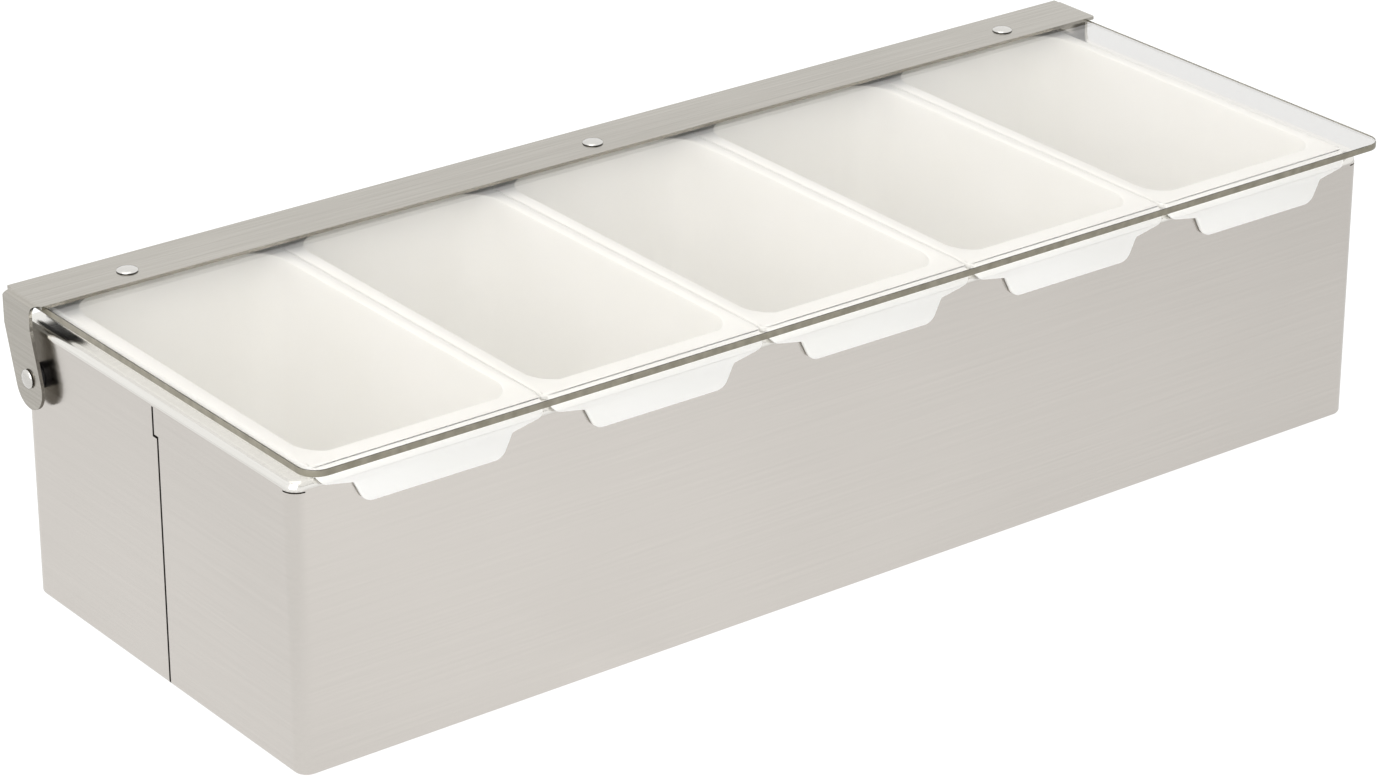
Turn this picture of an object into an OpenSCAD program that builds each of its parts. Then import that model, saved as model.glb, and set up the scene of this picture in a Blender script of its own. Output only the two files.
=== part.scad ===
// Bar caddy for cut fruit and garnishes: a folded steel housing with an open top,
// five lift-out inserts that hang in its rim, and one clear lid on a steel hinge rail.
// Origin: centre of the housing's underside. +X runs along the length, +Y towards
// the hinge side and +Z up. All sizes are in millimetres and the lid is shut.

/* [Housing] */
// Length over the end walls
body_length = 450; // [400:1:600]
// Depth from the front wall to the rear wall
body_depth = 163.5; // [130:0.5:220]
// Height from the underside to the top of the rim
body_height = 101; // [80:0.5:140]
// Thickness of the housing sheet
body_sheet = 0.9; // [0.6:0.1:1.5]
// Outer radius of the four upright corners
corner_radius = 5; // [4:0.5:8]
// Outer radius of the bend where the walls turn in to the rim
rim_bend = 3; // [2:0.1:4]
// Outer radius of the bend round the base
base_bend = 1.5; // [1.5:0.1:3]
// Width of the rim along the front and the rear
rim_width = 5; // [4:0.5:8]

// Height of the slit under the rim at each corner
corner_slit = 0.5; // [0.3:0.1:1]

/* [End seams] */
// Width of the open seam in each end wall
seam_gap = 1; // [0.6:0.1:2]
// Place of the seam along the depth, from the middle
seam_place = -3.4; // [-20:0.1:20]
// Sideways step of the seam near its top
seam_step = 2.4; // [1.5:0.1:5]
// Depth of that step below the rim
seam_step_drop = 13.5; // [8:0.5:30]

/* [Inserts] */
// Clear space between the flanges of two neighbours
insert_gap = 0.6; // [0.3:0.1:1.5]
// Steel left showing outside the first and the last flange
end_margin = 7.8; // [6:0.1:12]
// Height of the inserts' undersides above the underside of the housing
insert_foot = 11; // [3:0.5:25]
// Wall thickness of an insert
insert_wall = 1.5; // [1.2:0.1:2.5]
// Thickness of the flange
flange_thickness = 1.8; // [1.5:0.1:2.5]
// Width of the flange beyond the side walls of an insert
flange_land = 3.4; // [2.5:0.1:6]
// Distance from the flange edge back to the outer face of the housing
flange_setback = 1.1; // [0.8:0.1:2]
// Corner radius of the flange
flange_corner = 3; // [2:0.5:8]
// Clearance between an insert's walls and the rim opening
insert_clearance = 0.8; // [0.5:0.1:2]
// Corner radius of an insert at its top, outside
insert_corner = 14.5; // [8:0.5:20]
// Draft of the insert walls in degrees
insert_draft = 2.2; // [0.5:0.1:4]
// Radius between the walls and the floor of an insert, outside
floor_radius = 7; // [4:0.5:12]

/* [Finger tabs] */
// Width of the tab at its shoulders
tab_width = 59; // [40:0.5:66]
// Distance that the tab hangs below the rim
tab_drop = 12; // [9:0.5:20]
// Distance from the rim down to the tab's shoulders
shoulder_drop = 4.1; // [3:0.1:5]
// Slope of the tab's two sides from upright, in degrees
tab_side_slope = 26.5; // [5:0.5:40]
// Radius of the tab's two lower corners
tab_corner = 4.5; // [2:0.1:5]
// Radius of the hollow between tab and lip
tab_shoulder = 1; // [0.5:0.1:2]
// Distance that the lip hangs below the rim at its two ends
lip_drop = 2.6; // [1.5:0.1:3]
// Distance from the flange's ends in to the ends of the lip
lip_inset = 1.2; // [0.5:0.1:3]
// Radius of the lip's two lower corners
lip_corner = 2.4; // [1:0.1:4]
// Clearance between the tab and the housing
tab_gap = 0.3; // [0.3:0.1:0.6]

/* [Lid] */
// Thickness of the clear lid
lid_thickness = 2.4; // [2:0.1:4]
// Height of the lid's underside above the rim
lid_rise = 5.9; // [5.5:0.1:10]
// Distance that the lid reaches in front of the housing
lid_overhang = 10.9; // [4:0.1:20]
// Distance that each end of the lid reaches past the housing
lid_end_overhang = 0.2; // [-1:0.1:1]
// Radius of the lid's front corners
lid_front_corner = 7; // [2:0.5:15]
// Radius of the lid's rear corners
lid_rear_corner = 5; // [2:0.5:10]
// Distance from the rail's rear edge in to the lid's rear edge
lid_rear_inset = 2.6; // [1:0.1:5]

/* [Hinge rail] */
// Thickness of the rail and its arms
rail_thickness = 1.2; // [1:0.1:2]
// Width of the rail from front to rear
rail_width = 22.4; // [18:0.1:30]
// Distance that the rail reaches behind the housing
rail_overhang = 3.6; // [2:0.1:6]
// Outer radius of the bend from the rail into each arm
rail_bend = 2; // [1.8:0.1:4]
// Gap between each arm and the end wall
arm_gap = 2.8; // [1.5:0.1:5]
// Radius of the arm's round lower end
arm_end_radius = 8.4; // [7:0.1:10]
// Lean of the arm towards the front, in degrees
arm_lean = 16.5; // [8:0.5:25]
// Radius of the hollow curve at the top of the arm's front edge
arm_relief = 5.5; // [3:0.1:7]
// Bevel across the arm's rear corner at the top
arm_bevel = 2.6; // [0.5:0.1:4]
// Depth of the arm's end radius below the pivot
arm_end_below = 2.4; // [0:0.1:4]

/* [Pivots] */
// Distance from the rear face of the housing forward to the pivots
pivot_inset = 10.5; // [9:0.1:20]
// Depth of the pivots below the rim
pivot_drop = 18.4; // [17:0.1:30]
// Diameter of the pivot shank
pivot_diameter = 4.6; // [4:0.1:6]
// Diameter of the pivot head
pivot_head_diameter = 6.8; // [6.5:0.1:10]
// Height of the pivot head
pivot_head_height = 1.5; // [1.2:0.1:3]
// Outer diameter of the spacer between arm and wall
spacer_diameter = 8.6; // [8:0.1:12]
// Radial clearance round a turning shank
running_clearance = 0.05; // [0.02:0.01:0.1]
// Play between the pivot head and the arm
head_play = 0.1; // [0.05:0.05:0.3]

/* [Lid rivets] */
// Distance between the outer lid rivets
rivet_span = 379; // [300:1:390]
// Distance from the rail's rear edge in to the rivets
rivet_inset = 13.2; // [8:0.1:14]
// Diameter of the lid rivet shank
rivet_diameter = 4; // [3:0.1:5]
// Diameter of the lid rivet head
rivet_head_diameter = 7.4; // [6.5:0.1:11]
// Height of the lid rivet head
rivet_head_height = 1.1; // [0.8:0.1:2]
// Diameter of the rivet's closed end under the lid
rivet_tail_diameter = 6.6; // [5:0.1:8]
// Height of the rivet's closed end under the lid
rivet_tail_height = 1; // [0.6:0.1:1.5]
// Outer diameter of the washer under the lid
washer_diameter = 11; // [9:0.1:14]
// Thickness of the washer under the lid
washer_thickness = 0.5; // [0.4:0.1:1]

/* [Hidden] */

insert_count = 5;
half_length = body_length / 2;
half_depth = body_depth / 2;

// Inserts: the flanges share the length between the end margins.
insert_pitch = (body_length - 2 * end_margin + insert_gap) / insert_count;
flange_length = insert_pitch - insert_gap;
flange_depth = body_depth - 2 * flange_setback;
flange_top = body_height + flange_thickness;
insert_length = flange_length - 2 * flange_land;
insert_depth = body_depth - 2 * (rim_width + insert_clearance);
insert_floor = flange_thickness;

// The rim opening follows the outermost insert walls.
opening_length = body_length - 2 * (end_margin + flange_land - insert_clearance);
opening_depth = body_depth - 2 * rim_width;
opening_corner = insert_corner;

// The tab bends round the rim on the same centre.
tab_thickness = flange_thickness - tab_gap;
tab_bend_inner = rim_bend + tab_gap;
tab_bend_outer = rim_bend + flange_thickness;
tab_foot = body_height - tab_drop;

// Lid and rail, stacked above the rim.
lid_bottom = body_height + lid_rise;
lid_top = lid_bottom + lid_thickness;
rail_top = lid_top + rail_thickness;
rail_rear = half_depth + rail_overhang;
rail_front = rail_rear - rail_width;
lid_front = -half_depth - lid_overhang;
lid_rear = rail_rear - lid_rear_inset;
lid_half = half_length + lid_end_overhang;
arm_inner = half_length + arm_gap;
arm_outer = arm_inner + rail_thickness;
rivet_y = rail_rear - rivet_inset;
rivet_places = [-rivet_span / 2, 0, rivet_span / 2];

pivot_y = half_depth - pivot_inset;
pivot_z = body_height - pivot_drop;

// Small overlap that lets a cut pass cleanly through a face.
cut = 1;
fine = 96;
coarse = 40;
steel = [0.80, 0.79, 0.77];
bright_steel = [0.86, 0.86, 0.85];
frosted = [0.96, 0.96, 0.94];
clear = [0.85, 0.90, 0.87, 0.35];
dark_nylon = [0.08, 0.08, 0.08];

// Rounded rectangle on the origin with one corner radius.
module rounded_plate(length, depth, radius, segments = fine) {
    square([length - 2 * radius, depth], center = true);
    square([length, depth - 2 * radius], center = true);
    for (x = [-1, 1], y = [-1, 1])
        translate([x * (length / 2 - radius), y * (depth / 2 - radius)])
            circle(radius, $fn = segments);
}

// Quarter of a sheet bend that spans the angles from 90 to 180 degrees.
module bend_quarter(outer, thickness) {
    intersection() {
        difference() {
            circle(outer, $fn = fine);
            circle(outer - thickness, $fn = fine);
        }
        translate([-outer, 0]) square(outer);
    }
}

// Section through a housing wall: X is the distance in from the outer face, Y is up.
module wall_section() {
    translate([0, base_bend]) square([body_sheet, body_height - base_bend - rim_bend]);
    translate([rim_bend, body_height - rim_bend]) bend_quarter(rim_bend, body_sheet);
    translate([rim_bend, body_height - body_sheet]) square([corner_radius - rim_bend, body_sheet]);
    translate([base_bend, base_bend]) mirror([0, 1]) bend_quarter(base_bend, body_sheet);
    translate([base_bend, 0]) square([corner_radius - base_bend, body_sheet]);
}

// One straight wall, with its outer face at the given distance from the centre.
module wall_run(distance, run) {
    translate([-run / 2, -distance, 0])
        rotate([90, 0, 90]) linear_extrude(run) wall_section();
}

module wall_corner() {
    rotate_extrude(angle = 90, $fn = fine)
        translate([corner_radius, 0]) mirror([1, 0]) wall_section();
}

// The closed sheet form before its openings are cut.
module housing_blank() {
    core_length = body_length - 2 * corner_radius;
    core_depth = body_depth - 2 * corner_radius;
    for (turn = [0, 180]) {
        rotate(turn) wall_run(half_depth, core_length);
        rotate(turn + 90) wall_run(half_length, core_depth);
    }
    for (x = [0, 1], y = [0, 1])
        mirror([x, 0]) mirror([0, y])
            translate([core_length / 2, core_depth / 2, 0]) wall_corner();
    for (z = [0, body_height - body_sheet])
        translate([0, 0, z]) linear_extrude(body_sheet)
            square([core_length, core_depth], center = true);
}

// Open seam where the front and rear flaps of an end wall meet, with its step.
module end_seam() {
    step_z = body_height - seam_step_drop;
    wall_reach = corner_radius / 2;
    translate([half_length - wall_reach, seam_place - seam_gap / 2, body_sheet])
        cube([wall_reach + cut, seam_gap, step_z + seam_gap - body_sheet]);
    translate([half_length - wall_reach, seam_place - seam_gap / 2, step_z])
        cube([wall_reach + cut, seam_step + seam_gap, seam_gap]);
    translate([half_length - wall_reach, seam_place + seam_step - seam_gap / 2, step_z])
        cube([wall_reach + cut, seam_gap, seam_step_drop - rim_bend]);
}

// Slit at one corner, just under the bend of the rim, which lets the two walls fold.
module rim_corner_slit() {
    translate([half_length - corner_radius, half_depth - corner_radius,
               body_height - rim_bend - corner_slit])
        cube([corner_radius + cut, corner_radius + cut, corner_slit]);
}

module housing() {
    color(steel) difference() {
        housing_blank();
        translate([0, 0, body_height - body_sheet - cut]) linear_extrude(body_sheet + 2 * cut)
            rounded_plate(opening_length, opening_depth, opening_corner);
        for (x = [0, 1]) mirror([x, 0]) {
            end_seam();
            for (y = [0, 1]) mirror([0, y]) rim_corner_slit();
        }
        translate([-half_length - cut, pivot_y, pivot_z]) rotate([0, 90, 0])
            cylinder(r = pivot_diameter / 2 + running_clearance, h = body_length + 2 * cut, $fn = fine);
    }
}

// Tapered tub form with a filleted floor. The inset is taken off all round.
module tub_form(inset, foot, fillet, top) {
    steps = 4;
    hull() {
        for (i = [0:steps]) {
            turn = 90 * i / steps;
            z = foot + fillet * (1 - cos(turn));
            shrink = inset + fillet * (1 - sin(turn)) + (body_height - z) * tan(insert_draft);
            translate([0, 0, z]) linear_extrude(0.01)
                rounded_plate(insert_length - 2 * shrink, insert_depth - 2 * shrink,
                              max(insert_corner - shrink, 1), coarse);
        }
        translate([0, 0, body_height]) linear_extrude(top - body_height)
            rounded_plate(insert_length - 2 * inset, insert_depth - 2 * inset,
                          insert_corner - inset, coarse);
    }
}

// Distance from a corner to where its rounding starts. The directions follow its edges.
function corner_run(along_a, along_b, radius) = radius / tan(acos(along_a * along_b) / 2);

// Unit direction that halves a corner, and the centre of its rounding.
function corner_middle(along_a, along_b) = (along_a + along_b) / norm(along_a + along_b);
function corner_centre(corner, along_a, along_b, radius) =
    corner + corner_middle(along_a, along_b) * radius / sin(acos(along_a * along_b) / 2);

// Front view of the lip with its finger tab: sloped sides, rounded corners and shoulders.
module tab_outline() {
    top_z = flange_top + cut;
    shoulder = [tab_width / 2, body_height - shoulder_drop];
    side_run = (tab_drop - shoulder_drop) * tan(tab_side_slope);
    foot = [shoulder[0] - side_run, tab_foot];
    tip = [flange_length / 2 - lip_inset, body_height - lip_drop];
    side_dir = (shoulder - foot) / norm(shoulder - foot);
    lip_dir = (tip - shoulder) / norm(tip - shoulder);
    up = [0, 1];
    inward = [-1, 0];
    tip_run = corner_run(up, -lip_dir, lip_corner);
    foot_run = corner_run(side_dir, inward, tab_corner);
    hollow_run = corner_run(lip_dir, -side_dir, tab_shoulder);
    hollow_centre = corner_centre(shoulder, lip_dir, -side_dir, tab_shoulder);
    for (m = [0, 1]) mirror([m, 0]) {
        polygon([[0, top_z], [tip[0], top_z], tip + tip_run * up, tip - tip_run * lip_dir, shoulder,
                 foot + foot_run * side_dir, foot + foot_run * inward, [0, tab_foot]]);
        translate(corner_centre(tip, up, -lip_dir, lip_corner)) circle(lip_corner, $fn = fine);
        translate(corner_centre(foot, side_dir, inward, tab_corner)) circle(tab_corner, $fn = fine);
        difference() {
            polygon([shoulder - cut * corner_middle(lip_dir, -side_dir),
                     shoulder + hollow_run * lip_dir, hollow_centre,
                     shoulder - hollow_run * side_dir]);
            translate(hollow_centre) circle(tab_shoulder, $fn = fine);
        }
    }
}

// Side view of lip and tab: they leave the flange, turn round the rim and hang down.
module tab_section() {
    bend_y = -half_depth + rim_bend;
    bend_z = body_height - rim_bend;
    outer_y = bend_y - tab_bend_outer;
    translate([bend_y, bend_z]) bend_quarter(tab_bend_outer, tab_thickness);
    translate([bend_y, bend_z + tab_bend_inner]) square([rim_width, tab_thickness]);
    translate([outer_y, tab_foot + tab_thickness / 2])
        square([tab_thickness, bend_z - tab_foot - tab_thickness / 2]);
    translate([outer_y + tab_thickness / 2, tab_foot + tab_thickness / 2])
        circle(tab_thickness / 2, $fn = fine);
}

module finger_tab() {
    intersection() {
        translate([-flange_length / 2, 0, 0]) rotate([90, 0, 90])
            linear_extrude(flange_length) tab_section();
        translate([0, -half_depth + 2 * rim_width, 0]) rotate([90, 0, 0])
            linear_extrude(4 * rim_width) tab_outline();
    }
}

// One lift-out insert, placed by its number counted from the left.
module insert(number) {
    translate([(number - (insert_count + 1) / 2) * insert_pitch, 0, 0])
        color(frosted) difference() {
            union() {
                translate([0, 0, body_height]) linear_extrude(flange_thickness)
                    rounded_plate(flange_length, flange_depth, flange_corner);
                finger_tab();
                tub_form(0, insert_foot, floor_radius, flange_top);
            }
            tub_form(insert_wall, insert_foot + insert_floor, floor_radius - insert_wall,
                     flange_top + cut);
        }
}

module insert_1() { insert(1); }
module insert_2() { insert(2); }
module insert_3() { insert(3); }
module insert_4() { insert(4); }
module insert_5() { insert(5); }

// Plan of the lid: larger corners at the front, smaller ones under the rail.
module lid_plan() {
    front_y = lid_front + lid_front_corner;
    rear_y = lid_rear - lid_rear_corner;
    translate([-lid_half, front_y]) square([2 * lid_half, rear_y - front_y]);
    translate([-lid_half + lid_front_corner, lid_front])
        square([2 * (lid_half - lid_front_corner), lid_front_corner]);
    translate([-lid_half + lid_rear_corner, rear_y])
        square([2 * (lid_half - lid_rear_corner), lid_rear_corner]);
    for (x = [-1, 1]) {
        translate([x * (lid_half - lid_front_corner), front_y]) circle(lid_front_corner, $fn = fine);
        translate([x * (lid_half - lid_rear_corner), rear_y]) circle(lid_rear_corner, $fn = fine);
    }
}

// Holes for the lid rivets, through lid and rail alike.
module rivet_holes() {
    for (x = rivet_places)
        translate([x, rivet_y, lid_bottom - cut])
            cylinder(d = rivet_diameter, h = rail_top - lid_bottom + 2 * cut, $fn = fine);
}

module lid_panel() {
    color(clear) difference() {
        translate([0, 0, lid_bottom]) linear_extrude(lid_thickness) lid_plan();
        rivet_holes();
    }
}

// Side view of an arm: straight below the rail, then leaning to its round end.
module arm_outline() {
    axis = [sin(arm_lean), cos(arm_lean)];
    across = [cos(arm_lean), -sin(arm_lean)];
    end_centre = [pivot_y, pivot_z - arm_end_below];
    rear_foot = end_centre + arm_end_radius * across;
    front_foot = end_centre - arm_end_radius * across;
    neck_front = rail_front + arm_relief;
    rear_knee = rear_foot + axis * (rail_rear - rear_foot[0]) / axis[0];
    front_knee = front_foot + axis * (neck_front - front_foot[0]) / axis[0];
    relief_z = rail_top - arm_relief;
    polygon([[rail_rear - arm_bevel, rail_top], [rail_rear, rail_top - arm_bevel], rear_knee,
             rear_foot, end_centre, front_foot, front_knee, [neck_front, rail_top]]);
    translate(end_centre) circle(arm_end_radius, $fn = fine);
    difference() {
        translate([rail_front, relief_z]) square([arm_relief, arm_relief]);
        translate([rail_front, relief_z]) circle(arm_relief, $fn = fine);
    }
}

// End view of the bend and the arm below it, for the right end.
module arm_section() {
    translate([arm_outer - rail_bend, rail_top - rail_bend]) mirror([1, 0])
        bend_quarter(rail_bend, rail_thickness);
    translate([arm_inner, 0]) square([rail_thickness, rail_top - rail_bend]);
}

module hinge_rail() {
    strip_half = arm_outer - rail_bend;
    color(steel) difference() {
        union() {
            translate([-strip_half, rail_front, lid_top])
                cube([2 * strip_half, rail_width, rail_thickness]);
            for (m = [0, 1]) mirror([m, 0]) intersection() {
                translate([0, rail_rear + cut, 0]) rotate([90, 0, 0])
                    linear_extrude(rail_width + pivot_inset + 2 * cut) arm_section();
                translate([strip_half, 0, 0]) rotate([90, 0, 90])
                    linear_extrude(rail_bend + cut) arm_outline();
            }
        }
        rivet_holes();
        translate([-arm_outer - cut, pivot_y, pivot_z]) rotate([0, 90, 0])
            cylinder(r = pivot_diameter / 2 + running_clearance, h = 2 * (arm_outer + cut), $fn = fine);
    }
}

// Low domed head that stands on the XY plane.
module domed_head(diameter, height) {
    edge = height / 4;
    rise = height - edge;
    sphere_radius = (diameter * diameter / 4 + rise * rise) / (2 * rise);
    rotate_extrude($fn = fine) {
        square([diameter / 2, edge]);
        intersection() {
            translate([0, height - sphere_radius]) circle(sphere_radius, $fn = fine);
            translate([0, edge]) square([diameter / 2, rise]);
        }
    }
}

module lid_rivets() {
    color(bright_steel) for (x = rivet_places) translate([x, rivet_y, 0]) {
        tail_z = lid_bottom - washer_thickness - rivet_tail_height;
        translate([0, 0, rail_top]) domed_head(rivet_head_diameter, rivet_head_height);
        translate([0, 0, tail_z]) cylinder(d = rivet_diameter, h = rail_top - tail_z, $fn = fine);
        translate([0, 0, tail_z])
            cylinder(d = rivet_tail_diameter, h = rivet_tail_height, $fn = fine);
    }
}

module lid_washers() {
    color(bright_steel) for (x = rivet_places)
        translate([x, rivet_y, lid_bottom - washer_thickness]) difference() {
            cylinder(d = washer_diameter, h = washer_thickness, $fn = fine);
            translate([0, 0, -cut])
                cylinder(d = rivet_diameter, h = washer_thickness + 2 * cut, $fn = fine);
        }
}

// A pivot rivet at each end: domed outside the arm, closed flat inside the wall.
module pivot_rivets() {
    inner_face = half_length - body_sheet;
    tail = pivot_head_height / 2;
    color(bright_steel) for (m = [0, 1]) mirror([m, 0])
        translate([inner_face, pivot_y, pivot_z]) rotate([0, 90, 0]) {
            translate([0, 0, -tail]) cylinder(d = pivot_head_diameter, h = tail, $fn = fine);
            cylinder(d = pivot_diameter, h = arm_outer + head_play - inner_face, $fn = fine);
            translate([0, 0, arm_outer + head_play - inner_face])
                domed_head(pivot_head_diameter, pivot_head_height);
        }
}

module pivot_spacers() {
    color(dark_nylon) for (m = [0, 1]) mirror([m, 0])
        translate([half_length, pivot_y, pivot_z]) rotate([0, 90, 0]) difference() {
            cylinder(d = spacer_diameter, h = arm_gap, $fn = fine);
            translate([0, 0, -cut]) cylinder(r = pivot_diameter / 2 + running_clearance,
                                             h = arm_gap + 2 * cut, $fn = fine);
        }
}

housing();
insert_1();
insert_2();
insert_3();
insert_4();
insert_5();
lid_panel();
hinge_rail();
lid_rivets();
lid_washers();
pivot_rivets();
pivot_spacers();
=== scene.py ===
"""Looks of the bar caddy: satin stainless housing and hinge rail, milky inserts, clear lid."""
import math

import bmesh
import bpy
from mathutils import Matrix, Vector


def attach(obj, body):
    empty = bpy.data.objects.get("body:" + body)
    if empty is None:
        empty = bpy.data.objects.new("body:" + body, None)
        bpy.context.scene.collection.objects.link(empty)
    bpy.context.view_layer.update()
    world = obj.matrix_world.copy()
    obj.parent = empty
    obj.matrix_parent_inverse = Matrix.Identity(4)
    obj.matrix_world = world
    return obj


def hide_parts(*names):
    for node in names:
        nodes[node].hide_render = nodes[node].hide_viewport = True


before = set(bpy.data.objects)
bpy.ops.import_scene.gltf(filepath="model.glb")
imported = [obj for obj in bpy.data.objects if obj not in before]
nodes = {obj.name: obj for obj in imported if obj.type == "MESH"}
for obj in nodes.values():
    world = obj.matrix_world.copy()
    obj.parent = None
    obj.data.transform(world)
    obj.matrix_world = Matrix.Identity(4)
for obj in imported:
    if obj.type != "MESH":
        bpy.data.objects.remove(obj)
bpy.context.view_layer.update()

MM = 0.001


# Material helpers
def linear(code):
    """sRGB hex such as "#D0CBC5" to linear RGBA."""
    values = []
    for i in (1, 3, 5):
        c = int(code[i:i + 2], 16) / 255
        values.append(c / 12.92 if c <= 0.04045 else ((c + 0.055) / 1.055) ** 2.4)
    return (*values, 1.0)


def add(tree, kind, settings=None, links=None):
    """Add a node. Settings are inputs by name or index, or properties. Links feed inputs."""
    node = tree.nodes.new(kind)
    for name, value in (settings or {}).items():
        if isinstance(name, str) and hasattr(node, name):
            setattr(node, name, value)
        else:
            node.inputs[name].default_value = value
    for name, output in (links or {}).items():
        tree.links.new(output, node.inputs[name])
    return node


def stops(node, *marks):
    """Set a colour ramp's stops from (position, RGBA) pairs in rising order."""
    elements = node.color_ramp.elements
    while len(elements) < len(marks):
        elements.new(0.5)
    for i, (position, colour) in enumerate(marks):
        elements[i].position, elements[i].color = position, colour


def blank(name):
    """New material with an empty node tree and its output node."""
    material = bpy.data.materials.new(name)
    material.use_nodes = True
    tree = material.node_tree
    tree.nodes.clear()
    return material, tree, tree.nodes.new("ShaderNodeOutputMaterial")


def satin_stainless(name, colour, roughness, grain_mm):
    """Stainless sheet with a rolled satin finish: fine streaks along the sheet soften every
    reflection, and a broad, faint unevenness keeps the large faces from looking printed."""
    material, tree, output = blank(name)
    place = add(tree, "ShaderNodeTexCoord").outputs["Object"]
    # Streaks about 60 mm long. Real ones are near 0.1 mm wide, and these are drawn
    # several times wider so that they still show in the picture.
    across = 1 / (grain_mm * MM)
    along_x = add(tree, "ShaderNodeMapping", {"Scale": (1 / (60 * MM), across, across)},
                  {"Vector": place})
    along_y = add(tree, "ShaderNodeMapping", {"Scale": (across, 1 / (60 * MM), across)},
                  {"Vector": place})
    streak_x = add(tree, "ShaderNodeTexNoise", {"Scale": 1.0, "Detail": 3.0, "Roughness": 0.6},
                   {"Vector": along_x.outputs["Vector"]})
    streak_y = add(tree, "ShaderNodeTexNoise", {"Scale": 1.0, "Detail": 3.0, "Roughness": 0.6},
                   {"Vector": along_y.outputs["Vector"]})
    # The two end faces look along X, so their streaks run along Y.
    normal = add(tree, "ShaderNodeNewGeometry").outputs["True Normal"]
    split = add(tree, "ShaderNodeSeparateXYZ", {}, {"Vector": normal})
    facing = add(tree, "ShaderNodeMath", {"operation": "ABSOLUTE"}, {0: split.outputs["X"]})
    streak = add(tree, "ShaderNodeMix", {"data_type": "FLOAT"},
                 {0: facing.outputs[0], 2: streak_x.outputs["Fac"], 3: streak_y.outputs["Fac"]})
    broad = add(tree, "ShaderNodeTexNoise",
                {"Scale": 1 / (90 * MM), "Detail": 2.0, "Roughness": 0.5}, {"Vector": place})
    mixed = add(tree, "ShaderNodeMix", {"data_type": "FLOAT", 0: 0.35},
                {2: streak.outputs[0], 3: broad.outputs["Fac"]})
    tone = add(tree, "ShaderNodeValToRGB", {}, {0: mixed.outputs[0]})
    low, high = colour
    stops(tone, (0.3, linear(low)), (0.7, linear(high)))
    polish = add(tree, "ShaderNodeMapRange",
                 {"From Min": 0.3, "From Max": 0.7, "To Min": roughness - 0.04,
                  "To Max": roughness + 0.05}, {"Value": streak.outputs[0]})
    relief = add(tree, "ShaderNodeBump", {"Strength": 0.06, "Distance": 0.02 * MM},
                 {"Height": streak.outputs[0]})
    steel = add(tree, "ShaderNodeBsdfPrincipled", {"Metallic": 1.0, "Anisotropic": 0.25},
                {"Base Color": tone.outputs["Color"], "Roughness": polish.outputs["Result"],
                 "Normal": relief.outputs["Normal"]})
    tree.links.new(steel.outputs[0], output.inputs["Surface"])
    return material


def sheared_steel_painted_shade():
    """Sheared edge of the sheet along the end seams: rough and dull, and coloured near black
    as painted shade of its narrow gap.
    """
    material, tree, output = blank("seam_edge_painted_shade")
    place = add(tree, "ShaderNodeTexCoord").outputs["Object"]
    tear = add(tree, "ShaderNodeTexNoise", {"Scale": 1 / (0.8 * MM), "Detail": 3.0},
               {"Vector": place})
    tone = add(tree, "ShaderNodeValToRGB", {}, {0: tear.outputs["Fac"]})
    # Near black: painted shade of the seam's gap, far darker than cut stainless is.
    stops(tone, (0, linear("#2A2522")), (1, linear("#3A3430")))
    edge = add(tree, "ShaderNodeBsdfPrincipled", {"Metallic": 0.6, "Roughness": 0.7},
               {"Base Color": tone.outputs["Color"]})
    tree.links.new(edge.outputs[0], output.inputs["Surface"])
    return material


def milky_polypropylene():
    """Moulded natural polypropylene: milky white, lets some light through its thin walls, with
    a fine spark-eroded skin that gives a soft, slightly waxy sheen."""
    material, tree, output = blank("milky_polypropylene")
    place = add(tree, "ShaderNodeTexCoord").outputs["Object"]
    skin = add(tree, "ShaderNodeTexNoise", {"Scale": 1 / (0.5 * MM), "Detail": 3.0},
               {"Vector": place})
    flow = add(tree, "ShaderNodeTexNoise", {"Scale": 1 / (45 * MM), "Detail": 2.0},
               {"Vector": place})
    tone = add(tree, "ShaderNodeValToRGB", {}, {0: flow.outputs["Fac"]})
    stops(tone, (0.3, linear("#F8F7F3")), (0.7, linear("#FCFBF8")))
    relief = add(tree, "ShaderNodeBump", {"Strength": 0.12, "Distance": 0.03 * MM},
                 {"Height": skin.outputs["Fac"]})
    plastic = add(tree, "ShaderNodeBsdfPrincipled",
                  {"Roughness": 0.48, "IOR": 1.49, "Subsurface Weight": 0.35,
                   "Subsurface Radius": (1.0, 0.98, 0.94), "Subsurface Scale": 3 * MM},
                  {"Base Color": tone.outputs["Color"], "Normal": relief.outputs["Normal"]})
    tree.links.new(plastic.outputs[0], output.inputs["Surface"])
    return material


def cast_acrylic():
    """Cast acrylic sheet: clear through its thickness, with a clean gloss. Lamps shine straight
    through it, so what lies under it stays as bright as what stands free."""
    material, tree, output = blank("cast_acrylic")
    place = add(tree, "ShaderNodeTexCoord").outputs["Object"]
    haze = add(tree, "ShaderNodeTexNoise", {"Scale": 1 / (30 * MM), "Detail": 3.0},
               {"Vector": place})
    gloss = add(tree, "ShaderNodeMapRange",
                {"From Min": 0.3, "From Max": 0.7, "To Min": 0.02, "To Max": 0.06},
                {"Value": haze.outputs["Fac"]})
    sheet = add(tree, "ShaderNodeBsdfPrincipled",
                {"Base Color": linear("#FEFDFB"), "IOR": 1.49, "Transmission Weight": 1.0},
                {"Roughness": gloss.outputs["Result"]})
    through = add(tree, "ShaderNodeBsdfTransparent", {"Color": linear("#FEFDFB")})
    path = add(tree, "ShaderNodeLightPath")
    lit = add(tree, "ShaderNodeMath", {"operation": "MAXIMUM"},
              {0: path.outputs["Is Shadow Ray"], 1: path.outputs["Is Diffuse Ray"]})
    mixed = add(tree, "ShaderNodeMixShader", {},
                {0: lit.outputs[0], 1: sheet.outputs[0], 2: through.outputs[0]})
    tree.links.new(mixed.outputs[0], output.inputs["Surface"])
    return material


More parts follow.
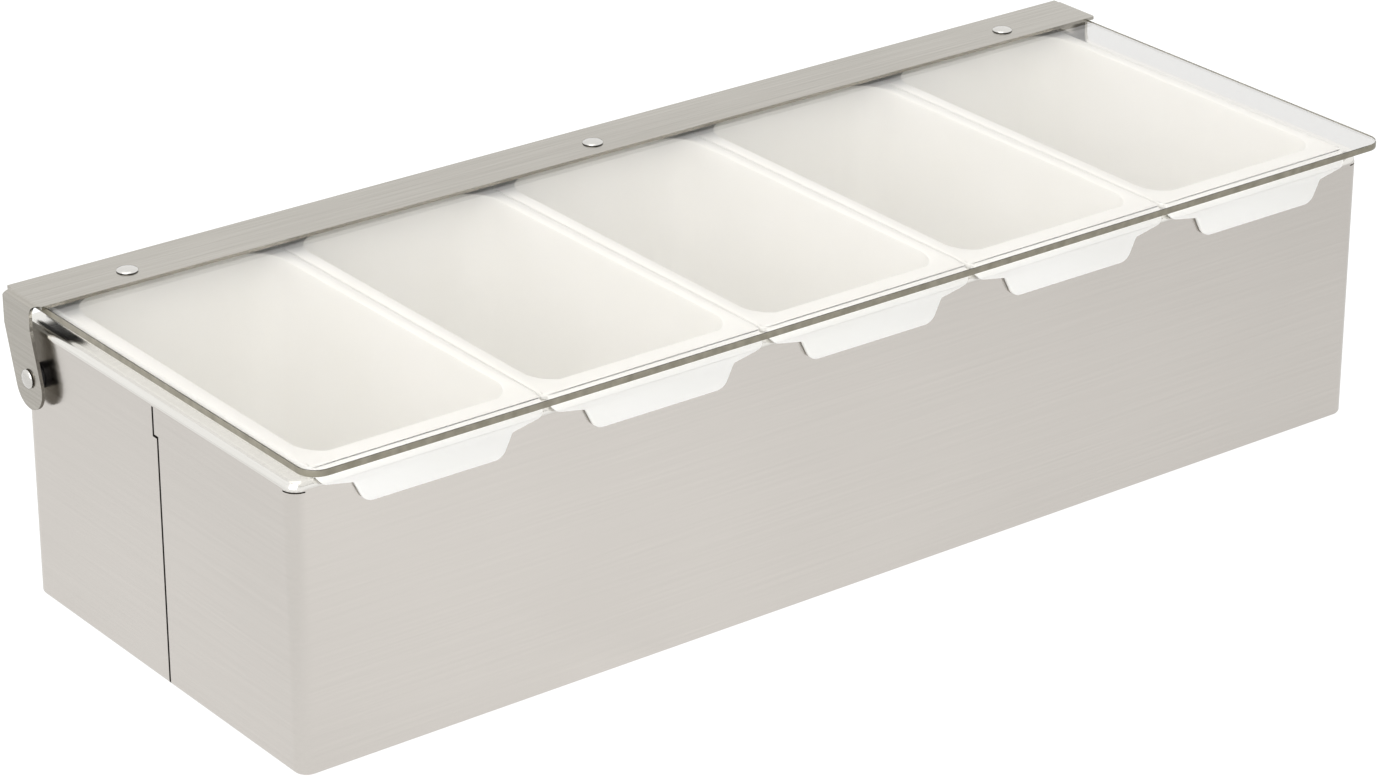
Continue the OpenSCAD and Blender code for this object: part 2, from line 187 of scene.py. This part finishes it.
def acrylic_edge():
    """Sawn and polished acrylic edge: light is trapped in the sheet, so the narrow edge looks a dark
    olive brown next to the clear faces. That look is painted in as the edge's own opaque colour."""
    material, tree, output = blank("acrylic_edge")
    place = add(tree, "ShaderNodeTexCoord").outputs["Object"]
    saw = add(tree, "ShaderNodeTexNoise", {"Scale": 1 / (4 * MM), "Detail": 3.0},
              {"Vector": place})
    tone = add(tree, "ShaderNodeValToRGB", {}, {0: saw.outputs["Fac"]})
    # Olive brown: painted shade that stands in for the light trapped in the sheet.
    stops(tone, (0.3, linear("#7A7566")), (0.7, linear("#8F8A7B")))
    edge = add(tree, "ShaderNodeBsdfPrincipled", {"Roughness": 0.22, "IOR": 1.49},
               {"Base Color": tone.outputs["Color"]})
    tree.links.new(edge.outputs[0], output.inputs["Surface"])
    return material


def turned_nylon():
    """Turned black nylon: near black, dull, with faint tool rings."""
    material, tree, output = blank("turned_black_nylon")
    place = add(tree, "ShaderNodeTexCoord").outputs["Object"]
    rings = add(tree, "ShaderNodeTexNoise", {"Scale": 1 / (0.6 * MM), "Detail": 2.0},
                {"Vector": place})
    tone = add(tree, "ShaderNodeValToRGB", {}, {0: rings.outputs["Fac"]})
    stops(tone, (0, linear("#17171A")), (1, linear("#232326")))
    nylon = add(tree, "ShaderNodeBsdfPrincipled", {"Roughness": 0.5, "IOR": 1.53},
                {"Base Color": tone.outputs["Color"]})
    tree.links.new(nylon.outputs[0], output.inputs["Surface"])
    return material


def crevice_share(tree, path):
    """Share of the studio's light left after two mirror bounces, so narrow gaps stay dark."""
    deep = add(tree, "ShaderNodeMath", {"operation": "GREATER_THAN", 1: 1.5},
               {0: path.outputs["Glossy Depth"]})
    return add(tree, "ShaderNodeMath", {"operation": "MULTIPLY_ADD", 1: -0.65, 2: 1.0},
               {0: deep.outputs[0]})


def shows_studio(tree, path):
    """One for rays that show the studio: from the camera, off a mirror or through the lid."""
    seen = add(tree, "ShaderNodeMath", {"operation": "MAXIMUM"},
               {0: path.outputs["Is Camera Ray"], 1: path.outputs["Is Glossy Ray"]})
    return add(tree, "ShaderNodeMath", {"operation": "MAXIMUM"},
               {0: seen.outputs[0], 1: path.outputs["Is Transmission Ray"]})


# Light of the paper as the steel mirrors it, over 0.8 m from left to right: place and level.
PAPER_LEVELS = ((0.1, 0.86), (0.36, 1.0), (0.95, 0.76))


def studio_paper():
    """Pale studio paper that reads as white and still takes the caddy's soft shadow. In the
    steel it shows as a sheet that falls off gently to the right."""
    material, tree, output = blank("studio_paper")
    place = add(tree, "ShaderNodeTexCoord").outputs["Object"]
    fibre = add(tree, "ShaderNodeTexNoise", {"Scale": 1 / (8 * MM), "Detail": 2.0},
                {"Vector": place})
    tone = add(tree, "ShaderNodeValToRGB", {}, {0: fibre.outputs["Fac"]})
    stops(tone, (0, linear("#F4F4F2")), (1, linear("#F8F8F6")))
    paper = add(tree, "ShaderNodeBsdfDiffuse", {}, {"Color": tone.outputs["Color"]})
    split = add(tree, "ShaderNodeSeparateXYZ", {}, {"Vector": place})
    path = add(tree, "ShaderNodeLightPath")
    span = add(tree, "ShaderNodeMapRange", {"From Min": -0.4, "From Max": 0.4},
               {"Value": split.outputs["X"]})
    fall = add(tree, "ShaderNodeValToRGB", {}, {0: span.outputs["Result"]})
    stops(fall, *((position, (level, level, level, 1)) for position, level in PAPER_LEVELS))
    deep = add(tree, "ShaderNodeMath", {"operation": "MULTIPLY"},
               {0: fall.outputs["Color"], 1: crevice_share(tree, path).outputs[0]})
    level = add(tree, "ShaderNodeMix", {"data_type": "FLOAT", 2: 1.15},
                {0: path.outputs["Is Glossy Ray"], 3: deep.outputs[0]})
    glow = add(tree, "ShaderNodeEmission", {"Color": (1, 1, 1, 1)},
               {"Strength": level.outputs[0]})
    share = add(tree, "ShaderNodeMath", {"operation": "MULTIPLY", 1: 0.85},
                {0: shows_studio(tree, path).outputs[0]})
    mixed = add(tree, "ShaderNodeMixShader", {},
                {0: share.outputs[0], 1: paper.outputs[0], 2: glow.outputs[0]})
    tree.links.new(mixed.outputs[0], output.inputs["Surface"])
    return material


def dress(piece, material):
    """Give a piece one material in place of any it has."""
    piece.data.materials.clear()
    piece.data.materials.append(material)


sheet_steel = satin_stainless("satin_stainless_sheet", ("#D5D0CA", "#DCD7D1"), 0.17, 0.7)
# Same stainless made lighter for the rim's up-facing faces: painted highlight.
rim_steel_painted_highlight = satin_stainless("stainless_rim_painted_highlight", ("#E6E4DE", "#F0EEE9"), 0.14, 0.6)
rail_steel = satin_stainless("satin_stainless_strip", ("#ADA9A0", "#C3BFB7"), 0.22, 0.8)
rivet_steel = satin_stainless("formed_stainless_rivet", ("#D2D0CB", "#E0DEDA"), 0.20, 0.5)
sheared_edge_painted_shade = sheared_steel_painted_shade()
insert_plastic = milky_polypropylene()
lid_sheet = cast_acrylic()
lid_edge = acrylic_edge()
black_nylon = turned_nylon()

dress(nodes["housing"], sheet_steel)
nodes["housing"].data.materials.append(sheared_edge_painted_shade)
nodes["housing"].data.materials.append(rim_steel_painted_highlight)

# Faces across the thickness of the end walls, round each seam, are sheared; their near-black colour
# is
#  painted shade of the seam's gap. The bend and the rim, where they look up, get a lighter copy of
#  the
#  steel: a painted highlight of the light from above. All places are in millimetres.
END_WALL_INSIDE, SEAM_FRONT, SEAM_REAR, SEAM_TOP, BEND_START = 223.9, -8, 2, 98.5, 98.2
for face in nodes["housing"].data.polygons:
    centre = face.center / MM
    in_seam = SEAM_FRONT < centre.y < SEAM_REAR and centre.z < SEAM_TOP
    # Seam faces get the near-black edge material: painted shade of the gap.
    if in_seam and abs(centre.x) > END_WALL_INSIDE and abs(face.normal.x) < 0.5:
        face.material_index = 1
    # Up-facing faces of the bend and rim: lighter steel, painted highlight.
    elif centre.z > BEND_START and face.normal.z > 0.1:
        face.material_index = 2
dress(nodes["hinge_rail"], rail_steel)
dress(nodes["lid_washers"], rivet_steel)


# Shaping helpers
def fresh():
    """Select nothing."""
    bpy.ops.object.select_all(action="DESELECT")


def only(piece):
    """Select one piece and make it the active one."""
    fresh()
    bpy.context.view_layer.objects.active = piece
    piece.select_set(True)


def named(name):
    """Name the piece that was just added."""
    piece = bpy.context.object
    piece.name = piece.data.name = name
    return piece


def shape(piece):
    """Start to edit a piece, with all of it selected."""
    only(piece)
    bpy.ops.object.mode_set(mode="EDIT")
    bpy.ops.mesh.select_all(action="SELECT")


def done():
    bpy.ops.object.mode_set(mode="OBJECT")


def pick(piece, kind, test):
    """Select the verts, edges or faces that pass a test of their place or normal."""
    bpy.context.tool_settings.mesh_select_mode = tuple(kind == k for k in ("verts", "edges", "faces"))
    bpy.ops.mesh.select_all(action="DESELECT")
    mesh = bmesh.from_edit_mesh(piece.data)
    for part in getattr(mesh, kind):
        if test(part):
            part.select_set(True)
    bmesh.update_edit_mesh(piece.data)


def extrude(x=0.0, y=0.0, z=0.0):
    bpy.ops.mesh.extrude_region_move(
        TRANSFORM_OT_translate={"value": (x * MM, y * MM, z * MM)})


def resize(x=1.0, y=1.0, z=1.0, centre=(0, 0, 0)):
    bpy.ops.transform.resize(value=(x, y, z), center_override=[c * MM for c in centre])


def near(value, place, slack=0.02):
    return abs(value / MM - place) < slack


def modifier(piece, kind, **settings):
    """Add a modifier, set it and apply it."""
    only(piece)
    added = piece.modifiers.new(kind.lower(), kind)
    for name, value in settings.items():
        setattr(added, name, value)
    bpy.ops.object.modifier_apply(modifier=added.name)


def cut_with(piece, tool, operation):
    """Boolean with a tool, which is then removed."""
    modifier(piece, "BOOLEAN", operation=operation, object=tool, solver="EXACT")
    bpy.data.objects.remove(tool)


def soften(piece, width, segments=2, angle=35, limit=True):
    """Round the sharp edges slightly and smooth the curved faces."""
    modifier(piece, "WELD", merge_threshold=0.05 * MM)
    modifier(piece, "BEVEL", width=width * MM, segments=segments, limit_method="ANGLE",
             angle_limit=math.radians(angle), use_clamp_overlap=limit)
    only(piece)
    bpy.ops.object.shade_smooth_by_angle(angle=math.radians(angle))


def rounded_sheet(name, x, y, z, radii):
    """Flat face over the x and y spans. Corners that pass a pair's test are rounded by its run."""
    fresh()
    bpy.ops.mesh.primitive_plane_add(size=MM)
    piece = named(name)
    shape(piece)
    resize(x[1] - x[0], y[1] - y[0])
    bpy.ops.transform.translate(value=((x[0] + x[1]) / 2 * MM, (y[0] + y[1]) / 2 * MM, z * MM))
    for test, run in radii:
        pick(piece, "verts", test)
        bpy.ops.mesh.bevel(offset=run * MM, segments=10, affect="VERTICES")
    done()
    return piece


def turned(name, radius, bottom, top, below, above):
    """Turned piece along Z: a shank, then (step, radius) pairs for the form below and above it."""
    fresh()
    bpy.ops.mesh.primitive_cylinder_add(vertices=40, radius=radius * MM,
                                        depth=(top - bottom) * MM,
                                        location=(0, 0, (top + bottom) / 2 * MM))
    piece = named(name)
    bpy.ops.object.transform_apply(location=True)
    shape(piece)
    for start, way, steps in ((bottom, -1, below), (top, 1, above)):
        pick(piece, "faces", lambda f: near(f.calc_center_median().z, start)
             and f.normal.z * way > 0.9)
        now = radius
        for step, wide in steps:
            extrude(z=way * step)
            resize(wide / now, wide / now)
            now = wide
    done()
    return piece


def copies(piece, places, turn=None):
    """Copies of a finished piece, each with its own mesh, joined as one; the first is removed."""
    made = []
    for i, place in enumerate(places):
        one = piece.copy()
        one.data = piece.data.copy()
        bpy.context.scene.collection.objects.link(one)
        if turn:
            one.rotation_euler = turn[i]
        one.location = [c * MM for c in place]
        made.append(one)
    fresh()
    for one in made:
        one.select_set(True)
    bpy.context.view_layer.objects.active = made[0]
    bpy.ops.object.transform_apply(location=True, rotation=True)
    if len(made) > 1:
        bpy.ops.object.join()
    name = piece.name
    bpy.data.objects.remove(piece)
    made[0].name = made[0].data.name = name
    return made[0]


# Insert
# All sizes are in millimetres, from the middle of the caddy's underside.
PITCH = 87                       # from one insert to the next
FLANGE = (43.2, 80.65)           # half length and half depth of the flange
WELL = (38.3, 74.45)             # half length and half depth of the well's opening
FLANGE_CORNER, WELL_CORNER = 3.0, 13.0
TOP, RIM, FLOOR = 102.8, 101.0, 12.8
FLOOR_RADIUS = 5.5               # inside, between the well's walls and its floor
DRAFT = math.tan(math.radians(2.2))
BEND_Y, BEND_Z = -78.75, 98.0    # centre of the bend of the housing's front rim
LIP_THICKNESS = 1.5
LIP_END = (42.0, 99.3)           # half width and height of the lip's lower corners
SHOULDER = (29.5, 96.9)          # the same, where the tab leaves the lip
TAB_FOOT = (25.56, 89.0)         # the same, at the tab's lower corners


def insert_tub():
    """Flange and well as one moulded wall: two outlines bridged, then drawn down with draft."""
    every = lambda v: True
    tub = rounded_sheet("insert_tub", (-FLANGE[0], FLANGE[0]), (-FLANGE[1], FLANGE[1]), TOP,
                        ((every, FLANGE_CORNER),))
    well = rounded_sheet("well", (-WELL[0], WELL[0]), (-WELL[1], WELL[1]), TOP,
                         ((every, WELL_CORNER),))
    fresh()
    tub.select_set(True)
    well.select_set(True)
    bpy.context.view_layer.objects.active = tub
    bpy.ops.object.join()
    shape(tub)
    bpy.context.tool_settings.mesh_select_mode = (False, False, True)
    bpy.ops.mesh.select_all(action="SELECT")
    bpy.ops.mesh.delete(type="ONLY_FACE")
    pick(tub, "edges", lambda e: True)
    bpy.ops.mesh.bridge_edge_loops()
    inside = lambda v: abs(v.co.x) < (WELL[0] + 0.1) * MM and abs(v.co.y) < (WELL[1] + 0.1) * MM
    pick(tub, "edges", lambda e: all(inside(v) for v in e.verts) and e.is_boundary)
    # Height and inset of each step down the walls, then round to the floor.
    foot = FLOOR + FLOOR_RADIUS
    levels = [(z, (TOP - z) * DRAFT) for z in (TOP - 20, 60, foot)]
    for turn in (18, 36, 54, 72, 90):
        a = math.radians(turn)
        levels.append((FLOOR + FLOOR_RADIUS * (1 - math.sin(a)),
                       (TOP - foot) * DRAFT + FLOOR_RADIUS * (1 - math.cos(a))))
    height, shrink = TOP, 0.0
    for z, inset in levels:
        extrude(z=z - height)
        resize((WELL[0] - inset) / (WELL[0] - shrink), (WELL[1] - inset) / (WELL[1] - shrink))
        height, shrink = z, inset
    bpy.ops.mesh.edge_face_add()
    bpy.ops.mesh.inset(thickness=6 * MM)
    bpy.ops.mesh.select_all(action="SELECT")
    bpy.ops.mesh.normals_make_consistent(inside=False)
    mesh = bmesh.from_edit_mesh(tub.data)
    floor_face = min(mesh.faces, key=lambda f: f.calc_center_median().z)
    if floor_face.normal.z < 0:
        bpy.ops.mesh.flip_normals()
    done()
    modifier(tub, "SOLIDIFY", thickness=(TOP - RIM) * MM, offset=-1.0, use_even_offset=True)
    return tub


def rolled_strip(name, length, top, thickness, offset):
    """Strip that lies on the flange and rolls down over the front rim, then gets its thickness."""
    fresh()
    bpy.ops.mesh.primitive_plane_add(size=MM)
    strip = named(name)
    shape(strip)
    run = 6
    resize(length, run)
    bpy.ops.transform.translate(value=(0, (BEND_Y + run / 2) * MM, top * MM))
    pick(strip, "edges", lambda e: all(near(v.co.y, BEND_Y) for v in e.verts))
    bpy.ops.mesh.spin(steps=12, angle=math.radians(90), axis=(-1, 0, 0),
                      center=(0, BEND_Y * MM, BEND_Z * MM))
    pick(strip, "edges", lambda e: all(near(v.co.z, BEND_Z, 0.1) for v in e.verts))
    extrude(z=TAB_FOOT[1] - BEND_Z)
    bpy.ops.mesh.select_all(action="SELECT")
    bpy.ops.mesh.remove_doubles(threshold=0.001 * MM)
    bpy.ops.mesh.normals_make_consistent(inside=False)
    mesh = bmesh.from_edit_mesh(strip.data)
    if max(mesh.faces, key=lambda f: f.calc_center_median().z).normal.z < 0:
        bpy.ops.mesh.flip_normals()
    done()
    modifier(strip, "SOLIDIFY", thickness=thickness * MM, offset=offset, use_even_offset=True)
    return strip


def insert_lip():
    """Front lip and finger tab: the rolled strip trimmed to the tab's outline."""
    lip = rolled_strip("insert_lip", 86, TOP, LIP_THICKNESS, -1.0)

    # Outline of lip and tab, seen from the front.
    fresh()
    bpy.ops.mesh.primitive_plane_add(size=MM, rotation=(math.radians(90), 0, 0))
    outline = named("tab_outline")
    bpy.ops.object.transform_apply(rotation=True)
    shape(outline)
    above = 105
    resize(2 * LIP_END[0], 1, above - LIP_END[1])
    bpy.ops.transform.translate(value=(0, -95 * MM, (above + LIP_END[1]) / 2 * MM))
    for x in (-SHOULDER[0], SHOULDER[0]):
        bpy.ops.mesh.select_all(action="SELECT")
        bpy.ops.mesh.bisect(plane_co=(x * MM, 0, 0), plane_no=(1, 0, 0))
    pick(outline, "edges",
         lambda e: all(near(v.co.z, LIP_END[1]) and abs(v.co.x) < 30 * MM for v in e.verts))
    bpy.ops.transform.translate(value=(0, 0, (SHOULDER[1] - LIP_END[1]) * MM))
    extrude(z=TAB_FOOT[1] - SHOULDER[1])
    resize(TAB_FOOT[0] / SHOULDER[0], 1, 1)
    bpy.ops.mesh.select_all(action="SELECT")
    bpy.ops.mesh.dissolve_faces()
    for (x, z), run in ((TAB_FOOT, 2.8), (LIP_END, 2.8), (SHOULDER, 0.6)):
        pick(outline, "verts", lambda v: near(v.co.z, z) and near(abs(v.co.x), x))
        bpy.ops.mesh.bevel(offset=run * MM, segments=6, affect="VERTICES")
    bpy.ops.mesh.select_all(action="SELECT")
    extrude(y=25)
    bpy.ops.mesh.select_all(action="SELECT")
    bpy.ops.mesh.normals_make_consistent(inside=False)
    done()
    cut_with(lip, outline, "INTERSECT")
    return lip


def build_inserts():
    """One finished insert, copied to its five places."""
    tub = insert_tub()
    cut_with(tub, insert_lip(), "UNION")
    # The flange's front edge is cut to the same roll, a hair above the lip's skin.
    cut_with(tub, rolled_strip("front_roll", 100, TOP + 0.01, 4, 1.0), "DIFFERENCE")
    soften(tub, 0.3, 2, 40, False)
    tub.name = "insert"
    for i in range(5):
        one = tub.copy()
        one.data = tub.data.copy()
        bpy.context.scene.collection.objects.link(one)
        one.name = one.data.name = f"moulded_insert_{i + 1}"
        only(one)
        one.location.x = (i - 2) * PITCH * MM
        bpy.ops.object.transform_apply(location=True)
        dress(one, insert_plastic)
        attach(one, f"insert_{i + 1}_body")
        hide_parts(f"insert_{i + 1}")
    bpy.data.objects.remove(tub)


# Lid
LID_END, LID_FRONT, LID_REAR = 225.2, -92.65, 82.75
LID_BOTTOM, LID_TOP, RAIL_TOP = 106.9, 109.3, 110.5
RIVET_X, RIVET_Y = (-189.5, 0, 189.5), 72.15


def build_lid():
    """Acrylic sheet with rounded corners, rivet holes and finely broken edges."""
    lid = rounded_sheet("acrylic_lid", (-LID_END, LID_END), (LID_FRONT, LID_REAR), LID_BOTTOM,
                        ((lambda v: near(v.co.y, LID_FRONT), 7.0),
                         (lambda v: near(v.co.y, LID_REAR), 5.0)))
    shape(lid)
    extrude(z=LID_TOP - LID_BOTTOM)
    bpy.ops.mesh.select_all(action="SELECT")
    bpy.ops.mesh.normals_make_consistent(inside=False)
    done()
    fresh()
    bpy.ops.mesh.primitive_cylinder_add(vertices=32, radius=2.05 * MM, depth=10 * MM)
    holes = copies(named("holes"), [(x, RIVET_Y, 108) for x in RIVET_X])
    cut_with(lid, holes, "DIFFERENCE")
    modifier(lid, "BEVEL", width=0.3 * MM, segments=2, limit_method="ANGLE",
             angle_limit=math.radians(60))
    lid.data.materials.clear()
    lid.data.materials.append(lid_sheet)
    lid.data.materials.append(lid_edge)
    for face in lid.data.polygons:
        if abs(face.normal.z) < 0.5:
            face.material_index = 1
    only(lid)
    bpy.ops.object.shade_smooth_by_angle(angle=math.radians(20))
    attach(lid, "lid")
    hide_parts("lid_panel")


# Rivets
PIVOT_PLACES = [(0, 71.25, 82.6)] * 2
PIVOT_TURNS = [(0, math.radians(turn), 0) for turn in (90, -90)]
WASHER = 0.5                     # thickness of the washer under the lid


def build_rivets():
    """Domed rivets with slightly undercut heads: three through the lid and one at each pivot."""
    lid_rivet = turned("lid_rivet_set", 2.0, LID_BOTTOM - WASHER, RAIL_TOP,
                       ((0, 3.3), (0.7, 3.3), (0.3, 2.7)),
                       ((0, 3.2), (0.3, 3.7), (0.25, 3.45), (0.28, 2.7), (0.17, 1.6), (0.1, 0.5)))
    rivets = copies(lid_rivet, [(x, RIVET_Y, 0) for x in RIVET_X])
    soften(rivets, 0.08, 2, 40)
    dress(rivets, rivet_steel)
    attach(rivets, "lid")
    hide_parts("lid_rivets")
    pivot = turned("pivot_rivet_set", 2.3, 224.1, 229.1, ((0, 3.4), (0.5, 3.4), (0.25, 2.8)),
                   ((0, 2.9), (0.4, 3.4), (0.36, 3.15), (0.36, 2.5), (0.25, 1.5), (0.13, 0.5)))
    pivots = copies(pivot, PIVOT_PLACES, PIVOT_TURNS)
    soften(pivots, 0.08, 2, 40)
    dress(pivots, rivet_steel)
    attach(pivots, "housing_body")
    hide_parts("pivot_rivets")


def build_spacers():
    """Nylon rings between arm and end wall, chamfered, with a hair of play at each face."""
    ring = turned("nylon_spacers", 4.3, 225.02, 227.78, (), ())
    fresh()
    bpy.ops.mesh.primitive_cylinder_add(vertices=40, radius=2.35 * MM, depth=10 * MM,
                                        location=(0, 0, 226.4 * MM))
    cut_with(ring, named("spacer_bore"), "DIFFERENCE")
    rings = copies(ring, PIVOT_PLACES, PIVOT_TURNS)
    soften(rings, 0.25, 2, 50)
    dress(rings, black_nylon)
    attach(rings, "housing_body")
    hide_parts("pivot_spacers")


build_inserts()
build_lid()
build_rivets()
build_spacers()

# Studio
fresh()
bpy.ops.mesh.primitive_plane_add(size=12, location=(0, 0, -0.05 * MM))
floor = bpy.context.object
floor.name = "floor"
dress(floor, studio_paper())

world = bpy.data.worlds.new("studio")
bpy.context.scene.world = world
world.use_nodes = True
tree = world.node_tree
tree.nodes.clear()
path = add(tree, "ShaderNodeLightPath")
room = add(tree, "ShaderNodeBackground", {"Color": (1, 1, 1, 1), "Strength": 0.78})
white = add(tree, "ShaderNodeBackground", {"Color": (1, 1, 1, 1)},
            {"Strength": crevice_share(tree, path).outputs[0]})
mixed = add(tree, "ShaderNodeMixShader", {},
            {0: shows_studio(tree, path).outputs[0], 1: room.outputs[0], 2: white.outputs[0]})
add(tree, "ShaderNodeOutputWorld", {}, {"Surface": mixed.outputs[0]})


def soft_box(name, place, aim, size, power):
    """Large soft lamp that looks at a point on the caddy."""
    data = bpy.data.lights.new(name, "AREA")
    data.shape = "RECTANGLE"
    data.size, data.size_y = size
    data.energy = power
    lamp = bpy.data.objects.new(name, data)
    bpy.context.scene.collection.objects.link(lamp)
    lamp.location = place
    lamp.rotation_euler = (Vector(aim) - Vector(place)).to_track_quat("-Z", "Y").to_euler()


soft_box("top_soft_box", (-0.3, 0.1, 2.1), (0, 0, 0.05), (2.0, 1.6), 5)
soft_box("key_soft_box", (-1.75, -1.0, 1.6), (-0.05, 0, 0.05), (2.2, 2.2), 32)

camera_data = bpy.data.cameras.new("camera")
camera_data.sensor_fit = "HORIZONTAL"
camera_data.sensor_width = 36
camera_data.lens = 120.71
camera_data.clip_start, camera_data.clip_end = 0.05, 50
camera = bpy.data.objects.new("camera", camera_data)
bpy.context.scene.collection.objects.link(camera)
azimuth, elevation, distance = math.radians(37.22), math.radians(24.51), 1.59417
forward = Vector((math.sin(azimuth) * math.cos(elevation),
                  math.cos(azimuth) * math.cos(elevation), -math.sin(elevation)))
target = Vector((-0.0119, 0, 0.04527))
camera.location = target - forward * distance
camera.rotation_euler = forward.to_track_quat("-Z", "Y").to_euler()
bpy.context.scene.camera = camera
bpy.context.scene.view_settings.view_transform = "Standard"
